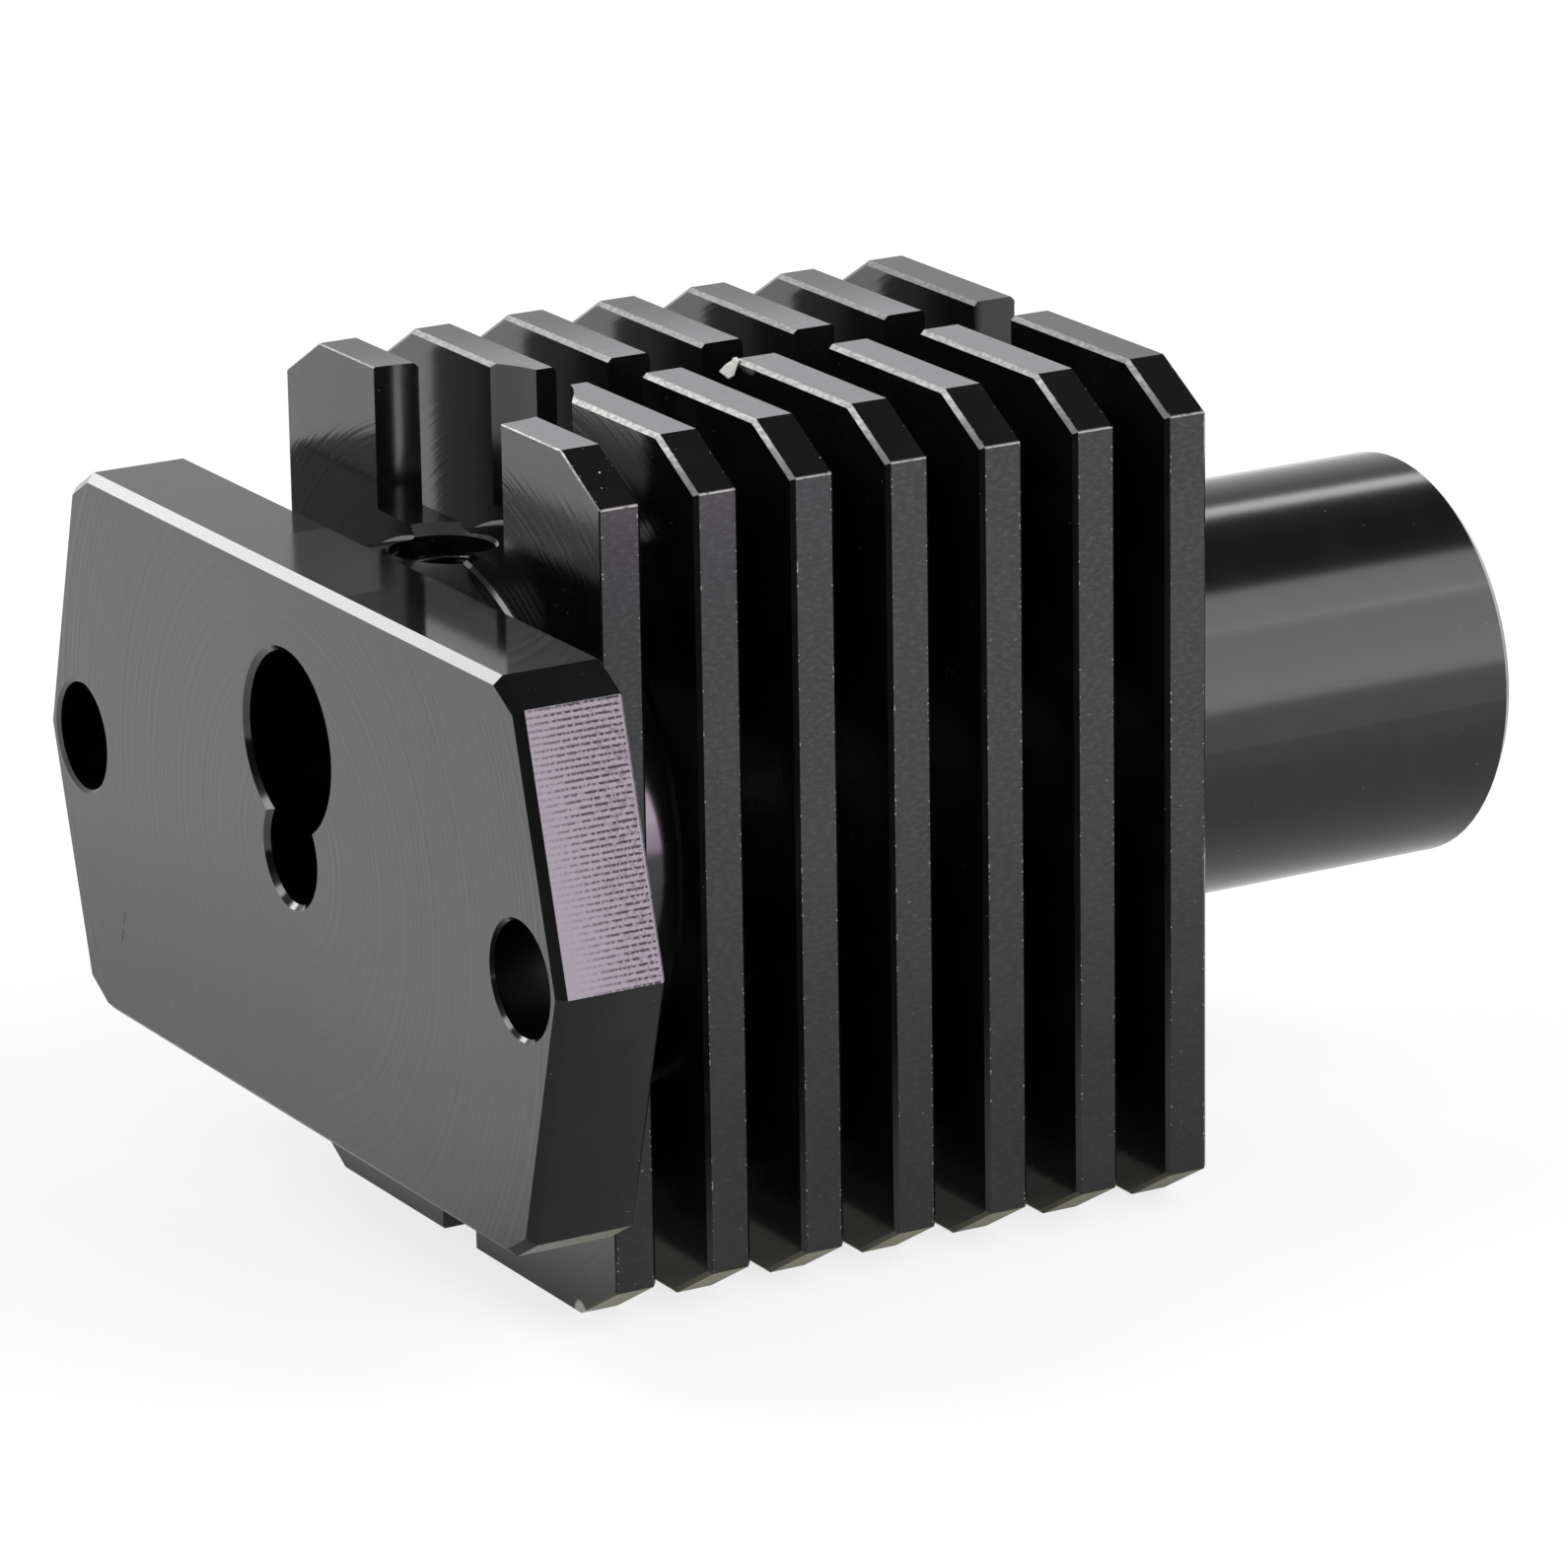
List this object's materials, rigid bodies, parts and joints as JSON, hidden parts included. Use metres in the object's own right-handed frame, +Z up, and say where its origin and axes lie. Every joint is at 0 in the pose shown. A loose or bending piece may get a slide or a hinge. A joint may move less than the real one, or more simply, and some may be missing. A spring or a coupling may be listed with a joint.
{
  "type": "hotend heat sink",
  "caption": "Black anodised printer hot-end heat sink: plate with screw holes and keyhole bore, split fins with a set-screw pocket, and a plain tube for clamping.",
  "frame": {"origin": "below the middle of the part, on the plane of the fins' bottom edges", "axes": "+X across the plate, +Y along the bore from the plate's front face to the tube's end, +Z up"},
  "size_m": [0.0312, 0.037, 0.0247],
  "materials": {
    "black_anodised": "black anodised, satin"
  },
  "bodies": {
    "root": {"heat_sink": "black_anodised"}
  },
  "joints": []
}
